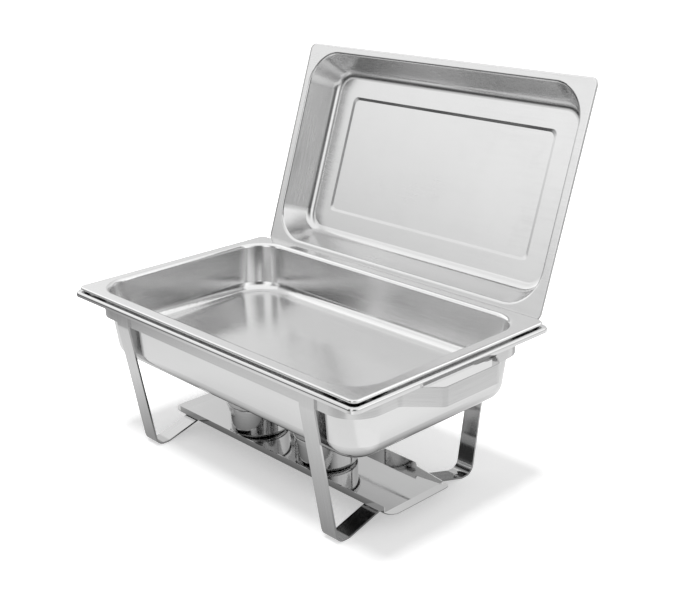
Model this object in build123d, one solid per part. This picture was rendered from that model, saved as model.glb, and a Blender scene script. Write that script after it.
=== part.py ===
from build123d import *
import math
import os

# Chafing dish food warmer, in millimetres. X runs along the dish, +Y is the rear, +Z is up.
# Sizes below are about the middle of the pans, with the table at z = 0.

# Where the middle of the pans lies: the standing lid reaches back, so the origin,
# which is under the middle of the whole object, lies behind the middle of the pans.
PAN_CENTRE_Y = -62.5

# Every outline round the pans is a rectangle this much longer than it is wide, halved.
LENGTH_EXTRA = 102.5

# Food pan: full-size insert, 530 x 325, 65 deep.
RIM_TOP = 219.5
RIM_HALF = 162.5
RIM_CORNER = 9.0
RIM_BEAD = 4.6
RIM_BEAD_WIDTH = 3.8
SHEET = 0.9
FOOD_WALL_HALF = 145.0
FOOD_CORNER = 43.0
FOOD_FLOOR = 153.0
FOOD_FLOOR_HALF = 137.4
FOOD_FLOOR_CORNER = 48.0
FOOD_FLOOR_RADIUS = 14.0
RIM_BEND = 5.5
BEAD_FLAT = 0.05

# Water pan: the food pan hangs in it, on a ridge pressed in its flange.
TRAY_FLANGE_TOP = 213.3
TRAY_FLANGE_HALF = 167.3
TRAY_FLANGE_CORNER = 11.0
TRAY_LIP = 6.8
TRAY_ROLL = 3.6
TRAY_NECK_HALF = 147.2
TRAY_NECK_CORNER = 46.0
TRAY_NECK_ROUND = 0.9
TRAY_SHOULDER = 191.0
TRAY_WALL_HALF = 144.2
TRAY_WALL_CORNER = 43.0
TRAY_TAPER = 7.0
TRAY_BOTTOM = 120.4
TRAY_BOTTOM_RADIUS = 24.0
RIDGE_INNER = 153.0
RIDGE_CORNER = 52.0
RIDGE_WIDTH = 5.0
RIDGE_TOP = 218.2

# Lid: shallow dome on a flat flange, drawn closed and then stood up behind the rim.
LID_HALF_X = 254.2
LID_HALF_Y = 150.8
LID_CORNER = 9.0
LID_SEAT = RIM_TOP + 0.3
LID_OPENING_X = 241.5
LID_OPENING_Y = 140.8
LID_OPENING_CORNER = 50.0
LID_OPENING_BEND = 4.0
LID_DEPTH = 43.0
LID_TAPER = 24.5
LID_CROWN_RADIUS = 15.0
LID_BEAD = 3.2
LID_BEAD_WIDTH = 2.6
LID_BEAD_ROUND = 1.4
LID_BEAD_PROUD = 0.5
PANEL_HALF_X = 184.0
PANEL_HALF_Y = 86.0
PANEL_CORNER = 8.0
PANEL_STEP = 1.0
PANEL_SLOPE = 4.0
LID_LEAN = 18.9
LID_AXIS_Y = 155.84
LID_AXIS_Z = 212.27

# Handle on the lid, a bent strip.
STRIP = 1.8
GRIP_LENGTH = 96.0
GRIP_RISE = 25.0
GRIP_SPLAY = 20.0
GRIP_FOOT = 18.0
GRIP_WIDTH = 24.0
GRIP_BEND = 7.0

# Support ring round the water pan, with a handle bent out of each end.
RAIL_BOTTOM = 182.5
RAIL_HEIGHT = 23.5
RAIL_HALF = 149.5
RAIL_CORNER = 41.0
HANDLE_REACH = 37.0
HANDLE_GRIP_HALF = 46.0
HANDLE_ROOT_HALF = 80.0
HANDLE_BEND = 9.0
RAIL_JOINT_HALF = 0.2

# Leg frames: flat bar, two legs leaning inward and a bottom bar raised in its middle.
LEG_X = 178.7
BAR_WIDTH = 24.8
BAR_THICK = 2.5
LEG_TOP = 212.1
LEG_FOOT_HALF = 120.8
LEG_SLOPE = 0.1735
FOOT_FLAT = 6.0
FOOT_BEND = 13.0
SHOULDER_BEND = 14.0
BAR_RISE = 15.0
RISE_SLOPE = 0.29
KNEE_BEND = 12.0

# Rivets that hold each leg top to the two rails that meet behind it.
RIVET_R = 1.6
RIVET_HEAD_R = 3.2
RIVET_HEAD = 1.1
RIVET_HEAD_ROUND = 0.8
RIVET_OFFSET = 6.2
RIVET_Z = 202.0

# Burner shelf.
SHELF_HALF_X = 202.0
SHELF_HALF_Y = 52.0
SHELF_Y = -2.0
SHELF_SHEET = 1.2
SHELF_BOTTOM = 17.8
FRONT_SIDE_HEIGHT = 8.7
SIDE_HEIGHT = 13.0
SIDE_HALF_X = 157.0
SIDE_STEP = 2.0
END_SIDE_HEIGHT = 8.0
END_SIDE_TIP = 3.5
END_LIP = 15.0
END_RISE = 2.4
END_CORNER = 11.0

# Fuel holders: a cup, a cover with a flame hole, and a damper plate that swivels over it.
CUP_Y = -7.0
CUP_X = {"left": -84.0, "right": 52.0}
CUP_R = 41.2
CUP_SHEET = 0.8
CUP_HEIGHT = 40.0
CUP_BASE_RADIUS = 6.0
COVER_R = 43.4
COVER_SKIRT = 7.0
COVER_EDGE_RADIUS = 1.8
FLAME_HOLE_R = 19.0
DAMPER_R = 22.5
DAMPER_SHEET = 0.8
DAMPER_PIVOT = 30.5
DAMPER_NECK = 11.0
DAMPER_EYE_R = 5.5
PIVOT_R = 1.8
PIVOT_CLEARANCE = 0.05
PIVOT_HEAD_R = 3.6
PIVOT_HEAD = 1.4
PIVOT_HEAD_ROUND = 0.9
TAB_WIDTH = 9.0
TAB_REACH = 49.0
TAB_ANGLE = {"left": 180.0, "right": 0.0}

# Between pieces that move past each other, and the height of a cutter that goes right through.
GAP = 0.3
THROUGH = 10.0

# How near an edge has to be to the place where it is looked for.
EDGE_REACH = 0.6
LEVEL_REACH = 0.01


def plan(half_y, corner, z, half_x=None, facing=1):
    """A rounded rectangle about the pans' middle, at height z."""
    half_x = half_y + LENGTH_EXTRA if half_x is None else half_x
    plane = Plane(origin=(0, 0, z), x_dir=(1, 0, 0), z_dir=(0, 0, facing))
    return plane * RectangleRounded(2 * half_x, 2 * half_y, corner)


def slab(half_y, corner, low, high, half_x=None):
    """A rounded rectangular slab between two heights."""
    return extrude(plan(half_y, corner, low, half_x), amount=high - low)


def basin(half_y, corner, top, bottom, taper, floor_radius):
    """A block that narrows downward and has a rounded bottom edge."""
    face = plan(half_y, corner, top, facing=-1)
    block = extrude(face, amount=top - bottom, taper=taper)
    return fillet(block.edges().group_by(Axis.Z)[0], floor_radius)


def rim_edges(solid, z, half_y, half_x=None):
    """The edge loop at height z that crosses the long sides at half_y."""
    half_x = half_y + LENGTH_EXTRA if half_x is None else half_x
    found = []
    for edge in solid.edges():
        box = edge.bounding_box()
        level = abs(box.max.Z - z) < LEVEL_REACH and abs(box.min.Z - z) < LEVEL_REACH
        reach_y = max(abs(box.min.Y), abs(box.max.Y))
        reach_x = max(abs(box.min.X), abs(box.max.X))
        on_side = abs(reach_y - half_y) < EDGE_REACH
        on_end = abs(reach_x - half_x) < EDGE_REACH
        if level and (on_side or on_end):
            found.append(edge)
    return found


def beaded(half_y, corner, top, bead, width):
    """A flat flange whose outer edge is rolled under into a round bead."""
    rim = slab(half_y, corner, top - bead, top)
    rim = fillet(rim.edges().group_by(Axis.Z)[-1], bead / 2 - BEAD_FLAT)
    rim = fillet(rim.edges().group_by(Axis.Z)[0], bead / 2 - BEAD_FLAT)
    return rim - slab(half_y - width, corner - width, top - bead, top - SHEET)


def food_block(inset):
    """The food pan as a solid block: its corners open out towards the floor."""
    low = FOOD_FLOOR - SHEET + inset
    top = plan(FOOD_WALL_HALF - inset, FOOD_CORNER - inset, RIM_TOP)
    bottom = plan(FOOD_FLOOR_HALF - inset, FOOD_FLOOR_CORNER - inset, low)
    block = loft([bottom, top], ruled=True)
    return fillet(block.edges().group_by(Axis.Z)[0], FOOD_FLOOR_RADIUS - inset)


def food_pan():
    """The food pan, from its floor to its rolled rim."""
    pan = beaded(RIM_HALF, RIM_CORNER, RIM_TOP, RIM_BEAD, RIM_BEAD_WIDTH) + food_block(0)
    pan = fillet(rim_edges(pan, RIM_TOP - SHEET, FOOD_WALL_HALF), RIM_BEND - SHEET)
    pan = pan - food_block(SHEET)
    return fillet(rim_edges(pan, RIM_TOP, FOOD_WALL_HALF - SHEET), RIM_BEND)


def turned_down(half_y, corner, top, lip, roll):
    """A flat flange whose outer edge is turned straight down."""
    rim = slab(half_y, corner, top - lip, top)
    rim = fillet(rim.edges().group_by(Axis.Z)[-1], roll)
    inner = slab(half_y - SHEET, corner - SHEET, top - lip, top - SHEET)
    return rim - fillet(inner.edges().group_by(Axis.Z)[-1], roll - SHEET)


def tray_body(inset):
    """The water pan's tapered body as a solid block, from its bottom to its shoulder."""
    half, corner = TRAY_WALL_HALF - inset, TRAY_WALL_CORNER - inset
    bottom, radius = TRAY_BOTTOM + inset, TRAY_BOTTOM_RADIUS - inset
    return basin(half, corner, TRAY_SHOULDER, bottom, TRAY_TAPER, radius)


def tray_ridge(inset):
    """The ridge on the water pan's flange, as a solid ring."""
    outer, corner = RIDGE_INNER + RIDGE_WIDTH - inset, RIDGE_CORNER + RIDGE_WIDTH - inset
    low, high = TRAY_FLANGE_TOP - inset, RIDGE_TOP - inset
    return slab(outer, corner, low, high) - slab(RIDGE_INNER + inset, RIDGE_CORNER + inset, low, high)


def water_pan():
    """The water pan: tapered body, straight neck, flange with a ridge and a turned-down edge."""
    neck = slab(TRAY_NECK_HALF, TRAY_NECK_CORNER, TRAY_SHOULDER - SHEET, TRAY_FLANGE_TOP)
    neck = fillet(neck.edges().group_by(Axis.Z)[0], TRAY_NECK_ROUND - BEAD_FLAT)
    neck_inner = slab(TRAY_NECK_HALF - SHEET, TRAY_NECK_CORNER - SHEET, TRAY_SHOULDER, TRAY_FLANGE_TOP)
    rim = turned_down(TRAY_FLANGE_HALF, TRAY_FLANGE_CORNER, TRAY_FLANGE_TOP, TRAY_LIP, TRAY_ROLL)
    pan = rim + neck + tray_body(0) + tray_ridge(0)
    return pan - tray_ridge(SHEET) - tray_body(SHEET) - neck_inner


def lid_flange_low():
    """Height of the closed lid's flange underside: its bead stands a little prouder."""
    return LID_SEAT + LID_BEAD_PROUD


def lid_top():
    """Height of the closed lid's crown, beside the raised panel."""
    return lid_flange_low() + SHEET + LID_DEPTH


def lid_rim():
    """The lid's flange with the rolled bead at its edge."""
    rim = slab(LID_HALF_Y, LID_CORNER, LID_SEAT, LID_SEAT + LID_BEAD, LID_HALF_X)
    rim = fillet(rim.edges().group_by(Axis.Z)[0], LID_BEAD_ROUND)
    rim = fillet(rim.edges().group_by(Axis.Z)[-1], LID_BEAD_ROUND)
    half_y, corner = LID_HALF_Y - LID_BEAD_WIDTH, LID_CORNER - LID_BEAD_WIDTH
    half_x = LID_HALF_X - LID_BEAD_WIDTH
    above = lid_flange_low() + SHEET
    rim -= slab(half_y, corner, above, above + LID_BEAD, half_x)
    return rim - slab(half_y, corner, LID_SEAT, lid_flange_low(), half_x)


def dome(base, inset):
    """A block that narrows upward from the lid's opening, with a rounded crown."""
    face = plan(LID_OPENING_Y - inset, LID_OPENING_CORNER - inset, base, LID_OPENING_X - inset)
    block = extrude(face, amount=LID_DEPTH, taper=LID_TAPER)
    return fillet(block.edges().group_by(Axis.Z)[-1], LID_CROWN_RADIUS - inset)


def lid_panel(base):
    """The raised rectangle pressed in the lid's crown, with sloped sides."""
    low = plan(PANEL_HALF_Y, PANEL_CORNER, base, PANEL_HALF_X)
    high = plan(PANEL_HALF_Y - PANEL_SLOPE, PANEL_CORNER, base + PANEL_STEP, PANEL_HALF_X - PANEL_SLOPE)
    return loft([low, high], ruled=True)


def lid_shell():
    """The lid as it lies closed on the pan."""
    low = lid_flange_low()
    shell = lid_rim() + dome(low + SHEET, 0.0)
    foot = rim_edges(shell, low + SHEET, LID_OPENING_Y, LID_OPENING_X)
    shell = fillet(foot, LID_OPENING_BEND - SHEET)
    shell = shell + lid_panel(lid_top())
    shell = shell - dome(low, SHEET) - lid_panel(lid_top() - SHEET)
    opening = rim_edges(shell, low, LID_OPENING_Y - SHEET, LID_OPENING_X - SHEET)
    return fillet(opening, LID_OPENING_BEND)


def strip_along(path, width, width_dir):
    """A strip of sheet that follows a path, its width along width_dir."""
    tangent = path % 0
    section_plane = Plane(origin=path @ 0, x_dir=width_dir, z_dir=tangent)
    return sweep(section_plane * Rectangle(width, STRIP), path=path)


def lid_handle():
    """The grip on the closed lid, its two feet welded to the raised panel."""
    foot_z = lid_top() + PANEL_STEP + STRIP / 2
    grip = GRIP_LENGTH / 2
    foot = grip + GRIP_SPLAY
    end = foot + GRIP_FOOT
    points = [
        (-end, 0, foot_z),
        (-foot, 0, foot_z),
        (-grip, 0, foot_z + GRIP_RISE),
        (grip, 0, foot_z + GRIP_RISE),
        (foot, 0, foot_z),
        (end, 0, foot_z),
    ]
    path = FilletPolyline(*points, radius=GRIP_BEND)
    return strip_along(path, GRIP_WIDTH, (0, 1, 0))


def stood_up(piece):
    """Swings a closed-lid piece open about the line along the rear rim."""
    axis = Axis((0, LID_AXIS_Y, LID_AXIS_Z), (1, 0, 0))
    return piece.rotate(axis, -(90 + LID_LEAN))


def side_rail(sign):
    """A straight rail between the two legs on one long side."""
    y = sign * (RAIL_HALF - STRIP / 2)
    length = 2 * (LEG_X - RAIL_JOINT_HALF)
    rail = Pos(0, y, RAIL_BOTTOM + RAIL_HEIGHT / 2) * Box(length, STRIP, RAIL_HEIGHT)
    return rail - leg_rivet_holes()


def end_rail(sign):
    """A rail round one short end, bent outward in its middle to form the handle."""
    side_y = RAIL_HALF - STRIP / 2
    end_x = side_y + LENGTH_EXTRA
    start_x = LEG_X + RAIL_JOINT_HALF
    z = RAIL_BOTTOM + RAIL_HEIGHT / 2
    half = [
        (start_x, side_y),
        (end_x, side_y),
        (end_x, HANDLE_ROOT_HALF),
        (end_x + HANDLE_REACH, HANDLE_GRIP_HALF),
    ]
    points = [(sign * x, -y, z) for x, y in half]
    points += [(sign * x, y, z) for x, y in reversed(half)]
    corner = RAIL_CORNER - STRIP / 2
    radii = [corner, HANDLE_BEND, HANDLE_BEND, HANDLE_BEND, HANDLE_BEND, corner]
    path = FilletPolyline(*points, radius=radii)
    return strip_along(path, RAIL_HEIGHT, (0, 0, 1)) - leg_rivet_holes()


def leg_path():
    """The middle line of a leg frame, in Y and Z, from front leg top to rear leg top."""
    half_thick = BAR_THICK / 2
    lean = math.atan(LEG_SLOPE)
    top_y = RAIL_HALF + half_thick
    foot_y = LEG_FOOT_HALF - half_thick / math.cos(lean)
    kink_z = (top_y - foot_y) / LEG_SLOPE
    base_y = foot_y + LEG_SLOPE * half_thick
    rise_y = base_y - FOOT_FLAT - FOOT_BEND
    raised_y = rise_y - BAR_RISE / RISE_SLOPE
    half = [
        (top_y, LEG_TOP),
        (top_y, kink_z),
        (base_y, half_thick),
        (rise_y, half_thick),
        (raised_y, BAR_RISE + half_thick),
    ]
    points = [(0, -y, z) for y, z in half] + [(0, y, z) for y, z in reversed(half)]
    radii = [SHOULDER_BEND, FOOT_BEND, KNEE_BEND, KNEE_BEND]
    return FilletPolyline(*points, radius=radii + radii[::-1])


def leg_frame(sign):
    """One U-shaped leg frame of flat bar."""
    path = leg_path()
    section_plane = Plane(origin=path @ 0, x_dir=(1, 0, 0), z_dir=path % 0)
    bar = sweep(section_plane * Rectangle(BAR_WIDTH, BAR_THICK), path=path)
    bar = Pos(sign * LEG_X, 0, 0) * bar
    return bar - leg_rivet_holes()


def leg_rivet_places():
    """The rivets' middles, two at each leg top: (x, side)."""
    middles = [end * LEG_X + offset for end in (-1, 1) for offset in (-RIVET_OFFSET, RIVET_OFFSET)]
    return [(x, side) for side in (-1, 1) for x in middles]


def rivet_shank(x, side):
    """A rivet's shank, from the rail's inner face to the leg's outer face."""
    length = STRIP + BAR_THICK
    middle_y = side * (RAIL_HALF - STRIP + length / 2)
    shank = Rot(90, 0, 0) * Cylinder(RIVET_R, length)
    return Pos(x, middle_y, RIVET_Z) * shank


def leg_rivet_holes():
    """All the holes for the leg rivets, as one cutter."""
    return Compound(children=[rivet_shank(x, side) for x, side in leg_rivet_places()])


def leg_rivets(sign):
    """The four rivets of one leg frame, each with a low round head outside."""
    rivets = []
    for x, side in leg_rivet_places():
        if x * sign < 0:
            continue
        head = Rot(-90 * side, 0, 0) * Pos(0, 0, RIVET_HEAD / 2) * Cylinder(RIVET_HEAD_R, RIVET_HEAD)
        face_y = side * (RAIL_HALF + BAR_THICK)
        head = Pos(x, face_y, RIVET_Z) * head
        outer = head.edges().filter_by(GeomType.CIRCLE).sort_by(Axis.Y)[-1 if side > 0 else 0]
        rivets.append(fillet(outer, RIVET_HEAD_ROUND) + rivet_shank(x, side))
    return Compound(children=rivets)


def shelf_side(sign, half):
    """One upturned side of the shelf; its half outline runs from the end to the middle."""
    points = half + [(-x, z) for x, z in reversed(half)]
    face = Plane.XZ * make_face(Polyline(*points, close=True))
    return Pos(0, sign * (SHELF_HALF_Y - SHELF_SHEET / 2), 0) * extrude(face, SHELF_SHEET / 2, both=True)


def front_side():
    """The front side: low, and even in height."""
    high = SHELF_BOTTOM + FRONT_SIDE_HEIGHT
    return shelf_side(-1, [(SHELF_HALF_X, SHELF_BOTTOM), (SHELF_HALF_X, high)])


def rear_side():
    """The rear side: taller between the leg frames, lower and tapering towards its tips."""
    half = [
        (SHELF_HALF_X, SHELF_BOTTOM),
        (SHELF_HALF_X, SHELF_BOTTOM + END_SIDE_TIP),
        (SIDE_HALF_X + SIDE_STEP, SHELF_BOTTOM + END_SIDE_HEIGHT),
        (SIDE_HALF_X, SHELF_BOTTOM + SIDE_HEIGHT),
    ]
    return shelf_side(1, half)


def shelf_plate():
    """The shelf's plate: flat, with a rounded lip at each end that rises a little."""
    low = SHELF_BOTTOM
    tip = SHELF_HALF_X + END_LIP
    under = [(-tip, low + END_RISE), (-SHELF_HALF_X, low), (SHELF_HALF_X, low), (tip, low + END_RISE)]
    over = [(x, z + SHELF_SHEET) for x, z in reversed(under)]
    face = Plane.XZ * make_face(Polyline(*under, *over, close=True))
    plate = extrude(face, SHELF_HALF_Y, both=True)
    return plate & slab(SHELF_HALF_Y, END_CORNER, low, low + SHELF_SHEET + END_RISE, tip)


def burner_shelf():
    """The shelf that carries the fuel holders, lying across both bottom bars."""
    return Pos(0, SHELF_Y, 0) * (shelf_plate() + front_side() + rear_side())


def burner_cup():
    """A fuel holder cup standing on the shelf, at the origin in plan."""
    bottom = SHELF_BOTTOM + SHELF_SHEET + GAP
    cup = Pos(0, 0, bottom + CUP_HEIGHT / 2) * Cylinder(CUP_R, CUP_HEIGHT)
    cup = fillet(cup.edges().group_by(Axis.Z)[0], CUP_BASE_RADIUS)
    hollow = Pos(0, 0, bottom + CUP_SHEET + CUP_HEIGHT / 2) * Cylinder(CUP_R - CUP_SHEET, CUP_HEIGHT)
    hollow = fillet(hollow.edges().group_by(Axis.Z)[0], CUP_BASE_RADIUS - CUP_SHEET)
    return cup - hollow


def cover_top():
    """Height of the burner cover's top face."""
    return SHELF_BOTTOM + SHELF_SHEET + GAP + CUP_HEIGHT + CUP_SHEET


def burner_cover():
    """The cover that sits over a cup's edge, with the flame hole in its middle."""
    top = cover_top()
    bottom = top - COVER_SKIRT
    cover = Pos(0, 0, (top + bottom) / 2) * Cylinder(COVER_R, COVER_SKIRT)
    cover = fillet(cover.edges().group_by(Axis.Z)[-1], COVER_EDGE_RADIUS)
    inside = Pos(0, 0, (top + bottom) / 2 - CUP_SHEET) * Cylinder(COVER_R - CUP_SHEET, COVER_SKIRT)
    inside = fillet(inside.edges().group_by(Axis.Z)[-1], COVER_EDGE_RADIUS - CUP_SHEET)
    cover = cover - inside
    hole = Pos(0, 0, top) * Cylinder(FLAME_HOLE_R, THROUGH)
    pivot = Pos(0, DAMPER_PIVOT, top) * Cylinder(PIVOT_R, THROUGH)
    return cover - hole - pivot


def damper():
    """The plate over the flame hole, its pivot eye behind and its tab in front, along -Y."""
    top = cover_top() + GAP
    disc = Circle(DAMPER_R) + Pos(0, DAMPER_PIVOT / 2) * Rectangle(DAMPER_NECK, DAMPER_PIVOT)
    disc += Pos(0, DAMPER_PIVOT) * Circle(DAMPER_EYE_R)
    disc += Pos(0, -TAB_REACH / 2) * Rectangle(TAB_WIDTH, TAB_REACH)
    disc += Pos(0, -TAB_REACH) * Circle(TAB_WIDTH / 2)
    disc -= Pos(0, DAMPER_PIVOT) * Circle(PIVOT_R + PIVOT_CLEARANCE)
    return Pos(0, 0, top) * extrude(disc, DAMPER_SHEET)


def damper_rivet():
    """The damper's pivot: a shank through cover and damper with a head on top."""
    head_z = cover_top() + GAP + DAMPER_SHEET + GAP / 2
    bottom = cover_top() - CUP_SHEET
    shank = Pos(0, DAMPER_PIVOT, (bottom + head_z) / 2) * Cylinder(PIVOT_R, head_z - bottom)
    head = Pos(0, DAMPER_PIVOT, head_z + PIVOT_HEAD / 2) * Cylinder(PIVOT_HEAD_R, PIVOT_HEAD)
    head = fillet(head.edges().group_by(Axis.Z)[-1], PIVOT_HEAD_ROUND)
    return shank + head


def at_burner(piece, side):
    """Turns a burner piece so that its tab points outward, and puts it on the shelf."""
    return Pos(CUP_X[side], CUP_Y, 0) * Rot(0, 0, TAB_ANGLE[side] + 90) * piece


def all_nodes():
    """Every sub-part by node name, about the middle of the pans."""
    nodes = {
        "food_pan": food_pan(),
        "water_pan": water_pan(),
        "lid": stood_up(lid_shell()),
        "lid_handle": stood_up(lid_handle()),
        "front_rail": side_rail(-1),
        "rear_rail": side_rail(1),
        "burner_shelf": burner_shelf(),
    }
    for side, sign in (("left", -1), ("right", 1)):
        nodes[f"{side}_end_rail"] = end_rail(sign)
        nodes[f"{side}_leg_frame"] = leg_frame(sign)
        nodes[f"{side}_leg_rivets"] = leg_rivets(sign)
        nodes[f"{side}_burner_cup"] = at_burner(burner_cup(), side)
        nodes[f"{side}_burner_cover"] = at_burner(burner_cover(), side)
        nodes[f"{side}_damper"] = at_burner(damper(), side)
        nodes[f"{side}_damper_rivet"] = at_burner(damper_rivet(), side)
    return nodes


def main():
    """Writes every sub-part about the middle of the whole object's footprint."""
    os.makedirs("parts", exist_ok=True)
    for name, solid in all_nodes().items():
        export_step(Pos(0, PAN_CENTRE_Y, 0) * solid, f"parts/{name}.step")


main()
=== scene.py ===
import math

import bpy
from mathutils import Matrix, Vector

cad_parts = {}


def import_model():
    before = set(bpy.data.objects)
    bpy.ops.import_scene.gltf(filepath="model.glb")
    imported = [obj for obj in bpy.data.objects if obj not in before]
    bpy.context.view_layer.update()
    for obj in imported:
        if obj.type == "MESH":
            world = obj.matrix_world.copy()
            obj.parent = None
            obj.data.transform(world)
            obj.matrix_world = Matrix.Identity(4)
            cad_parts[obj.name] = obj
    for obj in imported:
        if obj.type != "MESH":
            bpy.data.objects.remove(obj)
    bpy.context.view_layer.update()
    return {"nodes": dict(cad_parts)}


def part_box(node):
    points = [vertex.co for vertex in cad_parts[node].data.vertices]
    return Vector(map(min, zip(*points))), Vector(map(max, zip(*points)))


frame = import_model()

# Chafing dish food warmer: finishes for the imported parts, a pale floor, soft light, a camera.
# Lengths are in metres.

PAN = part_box("food_pan")
PAN_MIDDLE = (PAN[0] + PAN[1]) / 2

X, Y, Z = 0, 1, 2
LID_LEAN = math.radians(-18.9)

# Brushed grain: fine noise drawn out along the way the sheet was brushed.
GRAIN_SCALE = 900.0
GRAIN_STRETCH = 50.0
GRAIN_DEPTH = 0.0002
# The cloudy polish, the smears on it and the slow swell of a large pressed sheet.
CLOUD_SCALE = 9.0
SMEAR_SCALE = 38.0
SWELL_SCALE = 16.0
# How much brighter and smoother a worn edge is, and the smoothest that the steel gets.
WEAR = 0.06
SMOOTHEST = 0.03


class Nodes:
    """A small helper that builds one node material."""

    def __init__(self, name):
        self.material = bpy.data.materials.new(name)
        self.material.use_nodes = True
        self.tree = self.material.node_tree
        self.shader = self.tree.nodes["Principled BSDF"]
        coords = self.tree.nodes.new("ShaderNodeTexCoord")
        self.coords = coords.outputs["Object"]
        self.normals = coords.outputs["Normal"]

    def node(self, kind, **values):
        """A new node with some of its properties set."""
        made = self.tree.nodes.new(kind)
        for key, value in values.items():
            setattr(made, key, value)
        return made

    def link(self, source, target):
        """Joins an output to an input."""
        self.tree.links.new(source, target)

    def feed(self, sockets, values):
        """Gives each socket its value, which is a number or another node's output."""
        for socket, value in zip(sockets, values):
            if isinstance(value, (int, float)):
                socket.default_value = value
            else:
                self.link(value, socket)

    def noise(self, scale, long_axes=(), detail=4.0, rough=0.55, lean=0.0):
        """Noise in the part's own space, drawn out along some axes of a frame that leans back."""
        mapping = self.node("ShaderNodeMapping", vector_type="TEXTURE")
        stretch = [GRAIN_STRETCH if axis in long_axes else 1.0 for axis in (X, Y, Z)]
        mapping.inputs["Scale"].default_value = stretch
        mapping.inputs["Rotation"].default_value = (lean, 0.0, 0.0)
        self.link(self.coords, mapping.inputs["Vector"])
        noise = self.node("ShaderNodeTexNoise")
        noise.inputs["Scale"].default_value = scale
        noise.inputs["Detail"].default_value = detail
        noise.inputs["Roughness"].default_value = rough
        self.link(mapping.outputs["Vector"], noise.inputs["Vector"])
        return noise.outputs["Fac"]

    def fit(self, value, low, high, start=0.3, end=0.7):
        """Maps a value from start..end to low..high."""
        node = self.node("ShaderNodeMapRange")
        node.inputs["From Min"].default_value = start
        node.inputs["From Max"].default_value = end
        node.inputs["To Min"].default_value = low
        node.inputs["To Max"].default_value = high
        self.link(value, node.inputs["Value"])
        return node.outputs["Result"]

    def maths(self, operation, *values):
        """One or two values through a maths node."""
        node = self.node("ShaderNodeMath", operation=operation)
        self.feed(node.inputs, values)
        return node.outputs[0]

    def blend(self, factor, a, b):
        """A value between a and b."""
        node = self.node("ShaderNodeMix", data_type="FLOAT")
        self.feed((node.inputs[0], node.inputs[2], node.inputs[3]), (factor, a, b))
        return node.outputs[0]

    def split(self, vector):
        """The X, Y and Z of a vector."""
        node = self.node("ShaderNodeSeparateXYZ")
        self.link(vector, node.inputs[0])
        return node.outputs

    def grey(self, value):
        """A grey colour from a value."""
        node = self.node("ShaderNodeCombineColor")
        for socket in node.inputs[:3]:
            self.link(value, socket)
        return node.outputs["Color"]

    def ramp(self, value, stops):
        """A grey ramp: pairs of position and brightness."""
        node = self.node("ShaderNodeValToRGB")
        elements = node.color_ramp.elements
        while len(elements) < len(stops):
            elements.new(0.5)
        for element, (position, tone) in zip(elements, stops):
            element.position = position
            element.color = (tone, tone, tone, 1)
        self.link(value, node.inputs["Fac"])
        return node.outputs["Color"]

    def bump(self, height, distance, strength=1.0, normal=None):
        """Relief from a height, on top of another normal if one is given."""
        node = self.node("ShaderNodeBump")
        node.inputs["Distance"].default_value = distance
        node.inputs["Strength"].default_value = strength
        self.link(height, node.inputs["Height"])
        if normal is not None:
            self.link(normal, node.inputs["Normal"])
        return node.outputs["Normal"]

    def pick(self, factor, usual, special):
        """One shader where the factor is 0 and the other where it is 1."""
        mix = self.node("ShaderNodeMixShader")
        self.link(factor, mix.inputs["Fac"])
        self.link(usual, mix.inputs[1])
        self.link(special, mix.inputs[2])
        return mix.outputs["Shader"]


def grain_lines(m, along, on_ends, lean):
    """Fine brushed lines, with the lines on faces that look along X drawn their own way."""
    lines = m.noise(GRAIN_SCALE, along, 3.0, 0.6, lean)
    if on_ends is None:
        return lines
    crossed = m.noise(GRAIN_SCALE, on_ends, 3.0, 0.6, lean)
    facing_x = m.maths("ABSOLUTE", m.split(m.normals)[X])
    return m.blend(m.fit(facing_x, 0.0, 1.0, 0.55, 0.75), lines, crossed)


def edge_wear(m):
    """How much a spot lies on a convex edge, where handling has polished it."""
    shape = m.node("ShaderNodeNewGeometry")
    return m.fit(shape.outputs["Pointiness"], 0.0, WEAR, 0.505, 0.56)


def steel(name, tone, rough, grain, along, on_ends=None, spread=0.03, swell=0.0, lean=0.0):
    """Stainless steel: brushed lines, a cloudy polish, small smears and brighter worn edges.

    The brushed lines follow the axes in along, or those in on_ends on faces that look along X."""
    m = Nodes(name)
    m.shader.inputs["Metallic"].default_value = 1.0
    lines = grain_lines(m, along, on_ends, lean)
    clouds = m.noise(CLOUD_SCALE, (), 3.0, 0.5)
    smears = m.noise(SMEAR_SCALE, (), 5.0, 0.65)
    wear = edge_wear(m)
    rough_base = m.fit(clouds, rough - spread, rough + spread)
    rough_lines = m.fit(lines, -grain * 0.5, grain * 0.5)
    rough_marks = m.fit(smears, 0.0, spread, 0.5, 0.8)
    total = m.maths("ADD", m.maths("ADD", rough_base, rough_lines), rough_marks)
    smooth = m.maths("MAXIMUM", m.maths("SUBTRACT", total, wear), SMOOTHEST)
    m.link(smooth, m.shader.inputs["Roughness"])
    shade_base = m.fit(clouds, tone - 0.012, tone + 0.012)
    shade = m.maths("ADD", shade_base, m.fit(lines, -grain * 0.2, grain * 0.2))
    m.link(m.grey(m.maths("ADD", shade, wear)), m.shader.inputs["Base Color"])
    normal = m.bump(lines, GRAIN_DEPTH * grain, 0.5)
    if swell:
        normal = m.bump(m.noise(SWELL_SCALE, (), 1.0, 0.4), swell, 1.0, normal)
    m.link(normal, m.shader.inputs["Normal"])
    return m.material


def pan_finishes():
    """The finishes of the large pressed sheets, by node. Their tones differ from node to node; part of
    that difference is painted light and shade, set to how light falls on each part.
    """
    return {
        "food_pan": steel("food_pan_steel", 0.71, 0.18, 0.07, (X,), (Y,), spread=0.04, swell=0.0002),
        "water_pan": steel("water_pan_steel", 0.62, 0.12, 0.05, (X,), (Y,), swell=0.0003),
        "lid": steel("lid_steel", 0.67, 0.22, 0.08, (X,), (Z,), lean=LID_LEAN),
        "lid_handle": steel("lid_handle_steel", 0.60, 0.22, 0.14, (X, Y), lean=LID_LEAN),
        "burner_shelf": steel("shelf_steel", 0.55, 0.10, 0.05, (X,), (Y,), swell=0.0002),
    }


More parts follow.
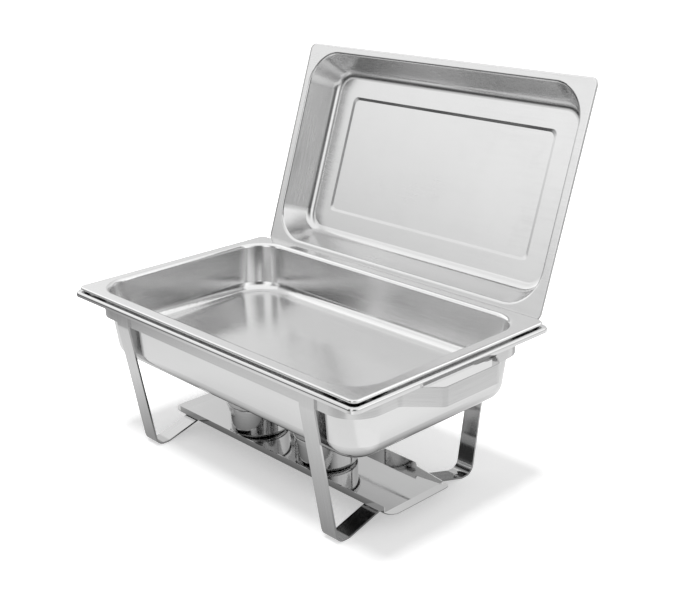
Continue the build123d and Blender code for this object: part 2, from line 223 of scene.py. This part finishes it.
def frame_finishes():
    """The finishes of the rails, legs, rivets and fuel holders, by node. Their tones differ from node
    to node; part of that difference is painted light and shade, set to how light falls on each part.
    """
    rail = steel("rail_steel", 0.47, 0.24, 0.14, (X, Y))
    leg = steel("leg_steel", 0.46, 0.15, 0.10, (Y, Z))
    rivet = steel("rivet_steel", 0.56, 0.28, 0.05, (X, Y))
    burner = steel("burner_steel", 0.40, 0.16, 0.06, (X, Y), spread=0.02)
    found = {name: rail for name in ("front_rail", "rear_rail", "left_end_rail", "right_end_rail")}
    for side in ("left", "right"):
        found[f"{side}_leg_frame"] = leg
        for piece in ("leg_rivets", "damper_rivet"):
            found[f"{side}_{piece}"] = rivet
        for piece in ("burner_cup", "burner_cover", "damper"):
            found[f"{side}_{piece}"] = burner
    return found


def dress(finishes):
    """Gives nodes their finishes."""
    for name, finish in finishes.items():
        materials = frame["nodes"][name].data.materials
        materials.clear()
        materials.append(finish)


# The floor's glow and how bright the steel sees it, by the distance from the dish's footprint
# as a share of FLOOR_REACH. The glow is dimmer near the dish: a painted shadow round it.
FLOOR_HALF = 12.0
FLOOR_DROP = 0.0002
FLOOR_REACH = 1.6
FOOTPRINT_HALF = (0.18, 0.06)
FLOOR_GLOW_PAINTED_SHADOW = ((0.0, 0.42), (0.03, 0.50), (0.14, 0.56), (0.35, 1.0))
# Painted reflection: the floor as the steel sees it glows on its own, dark under the dish as painted
# shade.
PAINTED_FLOOR_REFLECTION = (
    (0.0, 0.04),
    (0.02, 0.30),
    (0.06, 0.62),
    (0.14, 1.08),
    (0.22, 1.02),
    (0.30, 0.80),
    (0.38, 0.48),
    (0.54, 0.20),
    (1.0, 0.05),
)
# Along X to the right, the painted reflection of the floor brightens over one stretch and then fades a
# little.
RIGHT_RISE = (0.20, 0.38)
RIGHT_FADE = (0.46, 0.62)
RIGHT_BRIGHT = (1.22, 0.98)

# The sky's brightness by height, where 0.5 is the horizon and 1 is straight up.
SKY_BY_HEIGHT = (
    (0.49, 0.10),
    (0.53, 0.46),
    (0.578, 0.82),
    (0.62, 1.12),
    (0.66, 1.30),
    (0.75, 1.12),
    (0.88, 1.25),
    (1.0, 1.2),
)
# Its brightness round the dish, from the rear by the right, the front and the left to the rear again.
SKY_ROUND = (
    (0.0, 0.85),
    (0.13, 1.35),
    (0.25, 1.15),
    (0.315, 0.55),
    (0.335, 0.10),
    (0.405, 0.10),
    (0.43, 1.15),
    (0.49, 1.15),
    (0.515, 0.25),
    (0.56, 0.25),
    (0.59, 1.10),
    (0.64, 0.92),
    (0.75, 1.35),
    (0.87, 0.65),
    (1.0, 0.85),
)
# Between these heights, from 0 at the horizon, the sky evens out to the same brightness all round.
SKY_EVEN = (0.5, 0.85)
SKY_STRENGTH = 1.0
AMBIENT = 0.22


def footprint_distance(m):
    """Distance from the dish's footprint, as a share of FLOOR_REACH."""
    place = m.split(m.coords)
    away = []
    for axis, middle, half in zip((X, Y), PAN_MIDDLE, FOOTPRINT_HALF):
        off = m.maths("ABSOLUTE", m.maths("SUBTRACT", place[axis], middle))
        beyond = m.maths("MAXIMUM", m.maths("SUBTRACT", off, half), 0.0)
        away.append(m.maths("MULTIPLY", beyond, beyond))
    distance = m.maths("SQRT", m.maths("ADD", *away))
    return m.maths("DIVIDE", distance, FLOOR_REACH)


def painted_floor_reflection(m, distance):
    """Painted reflection: how bright the steel sees the floor, which glows for it alone: dark under the
    dish as painted shade, bright far off to the right, dark far off elsewhere.
    """
    x = m.split(m.coords)[X]
    rise = m.fit(x, 0.0, 1.0, *RIGHT_RISE)
    fade = m.fit(x, *RIGHT_BRIGHT, *RIGHT_FADE)
    both = m.node("ShaderNodeVectorMath", operation="MAXIMUM")
    m.link(m.ramp(distance, PAINTED_FLOOR_REFLECTION), both.inputs[0])
    m.link(m.grey(m.maths("MULTIPLY", rise, fade)), both.inputs[1])
    return both.outputs["Vector"]


def floor_paper():
    """Pale paper that glows, dimmer near the dish as a painted shadow, with a painted reflection of its
    own where the steel mirrors it, dark under the dish as painted shade.
    """
    m = Nodes("floor_paper")
    m.shader.inputs["Roughness"].default_value = 0.8
    m.shader.inputs["Specular IOR Level"].default_value = 0.1
    m.link(m.grey(m.fit(m.noise(3.0, (), 2.0), 0.875, 0.885)), m.shader.inputs["Base Color"])
    distance = footprint_distance(m)
    # Painted shadow: the floor's glow is dimmer near the dish, which sets how deep the shadow round it
    # is.
    m.link(m.ramp(distance, FLOOR_GLOW_PAINTED_SHADOW), m.shader.inputs["Emission Color"])
    m.shader.inputs["Emission Strength"].default_value = 1.0
    # Painted reflection: mirrored rays see the floor glow with this brightness of its own, not the lit
    # paper.
    mirrored = m.node("ShaderNodeEmission")
    m.link(painted_floor_reflection(m, distance), mirrored.inputs["Color"])
    path = m.node("ShaderNodeLightPath")
    seen = m.pick(path.outputs["Is Glossy Ray"], m.shader.outputs["BSDF"], mirrored.outputs["Emission"])
    m.link(seen, m.tree.nodes["Material Output"].inputs["Surface"])
    return m.material


def floor():
    """A pale floor, larger than any view needs: a glowing sheet, dimmer near the dish as a painted
    shadow, that one high lamp also lights.
    """
    mesh = bpy.data.meshes.new("floor")
    s = FLOOR_HALF
    mesh.from_pydata([(-s, -s, 0), (s, -s, 0), (s, s, 0), (-s, s, 0)], [], [(0, 1, 2, 3)])
    mesh.materials.append(floor_paper())
    made = bpy.data.objects.new("floor", mesh)
    bpy.context.scene.collection.objects.link(made)
    made.location.z = -FLOOR_DROP


class Sky(Nodes):
    """The same helper for the world's nodes."""

    def __init__(self):
        self.world = bpy.data.worlds.new("studio")
        self.world.use_nodes = True
        self.tree = self.world.node_tree
        self.coords = self.tree.nodes.new("ShaderNodeTexCoord").outputs["Generated"]

    def along(self, direction):
        """How far a ray looks along a direction."""
        dot = self.node("ShaderNodeVectorMath", operation="DOT_PRODUCT")
        self.link(self.coords, dot.inputs[0])
        dot.inputs[1].default_value = direction
        return dot.outputs["Value"]

    def backdrop(self, strength):
        """An even white sky."""
        node = self.node("ShaderNodeBackground")
        node.inputs["Color"].default_value = (1, 1, 1, 1)
        node.inputs["Strength"].default_value = strength
        return node.outputs["Background"]


def sky_colour(sky):
    """The sky's brightness by height and by direction round the dish."""
    height = sky.along((0, 0, 1))
    by_height = sky.ramp(sky.fit(height, 0.0, 1.0, -1.0, 1.0), SKY_BY_HEIGHT)
    angle = sky.maths("ARCTAN2", sky.along((-1, 0, 0)), sky.along((0, -1, 0)))
    turn = sky.ramp(sky.fit(angle, 0.0, 1.0, -math.pi, math.pi), SKY_ROUND)
    even = sky.node("ShaderNodeMix", data_type="RGBA")
    sky.link(sky.fit(height, 0.0, 1.0, *SKY_EVEN), even.inputs["Factor"])
    sky.link(turn, even.inputs[6])
    even.inputs[7].default_value = (1, 1, 1, 1)
    colour = sky.node("ShaderNodeVectorMath", operation="MULTIPLY")
    sky.link(by_height, colour.inputs[0])
    sky.link(even.outputs[2], colour.inputs[1])
    return colour.outputs["Vector"]


def world():
    """Soft light from all round, with dark panels towards the front; plain white where it is seen."""
    sky = Sky()
    bpy.context.scene.world = sky.world
    background = sky.tree.nodes["Background"]
    sky.link(sky_colour(sky), background.inputs["Color"])
    background.inputs["Strength"].default_value = SKY_STRENGTH
    path = sky.node("ShaderNodeLightPath")
    mirrored = background.outputs["Background"]
    lit = sky.pick(path.outputs["Is Diffuse Ray"], mirrored, sky.backdrop(AMBIENT))
    seen = sky.pick(path.outputs["Is Camera Ray"], lit, sky.backdrop(1.0))
    sky.link(seen, sky.tree.nodes["World Output"].inputs["Surface"])


def lamp(name, place, target, size, power):
    """A soft lamp that lights the floor but isn't mirrored in the steel."""
    data = bpy.data.lights.new(name, "AREA")
    data.shape = "RECTANGLE"
    data.size, data.size_y = size
    data.energy = power
    made = bpy.data.objects.new(name, data)
    bpy.context.scene.collection.objects.link(made)
    made.location = place
    made.rotation_euler = (Vector(target) - Vector(place)).to_track_quat("-Z", "Y").to_euler()
    made.visible_glossy = False


# The photograph's view: how far round to the right, how far up, and a slight tilt to one side.
VIEW_TURN = math.radians(46.41)
VIEW_RISE = math.radians(19.82)
VIEW_ROLL = math.radians(-0.94)
VIEW_LENS = 60.57
VIEW_SENSOR = 36.0
VIEW_FROM_PAN = (1.04236, -0.9158)
VIEW_HEIGHT = 0.72176


def camera():
    """The camera at the photograph's viewing angle."""
    level = math.cos(VIEW_RISE)
    back = Vector((math.sin(VIEW_TURN) * level, -math.cos(VIEW_TURN) * level, math.sin(VIEW_RISE)))
    right = (-back).cross(Vector((0, 0, 1))).normalized()
    up = right.cross(-back)
    c, s = math.cos(VIEW_ROLL), math.sin(VIEW_ROLL)
    turned = Matrix((c * right + s * up, c * up - s * right, back)).transposed()
    data = bpy.data.cameras.new("camera")
    data.lens = VIEW_LENS
    data.sensor_width = VIEW_SENSOR
    made = bpy.data.objects.new("camera", data)
    bpy.context.scene.collection.objects.link(made)
    made.matrix_world = turned.to_4x4()
    made.location = Vector((VIEW_FROM_PAN[0], PAN_MIDDLE.y + VIEW_FROM_PAN[1], VIEW_HEIGHT))
    bpy.context.scene.camera = made


dress(pan_finishes())
dress(frame_finishes())
floor()
world()
lamp("top", (0.05, -0.62, 3.0), (0, 0, 0.1), (1.1, 1.1), 110)
# The standing lid casts no shadow, so the floor shows only the soft one round the dish's feet.
frame["nodes"]["lid"].visible_shadow = False
camera()
bpy.context.scene.view_settings.view_transform = "Standard"
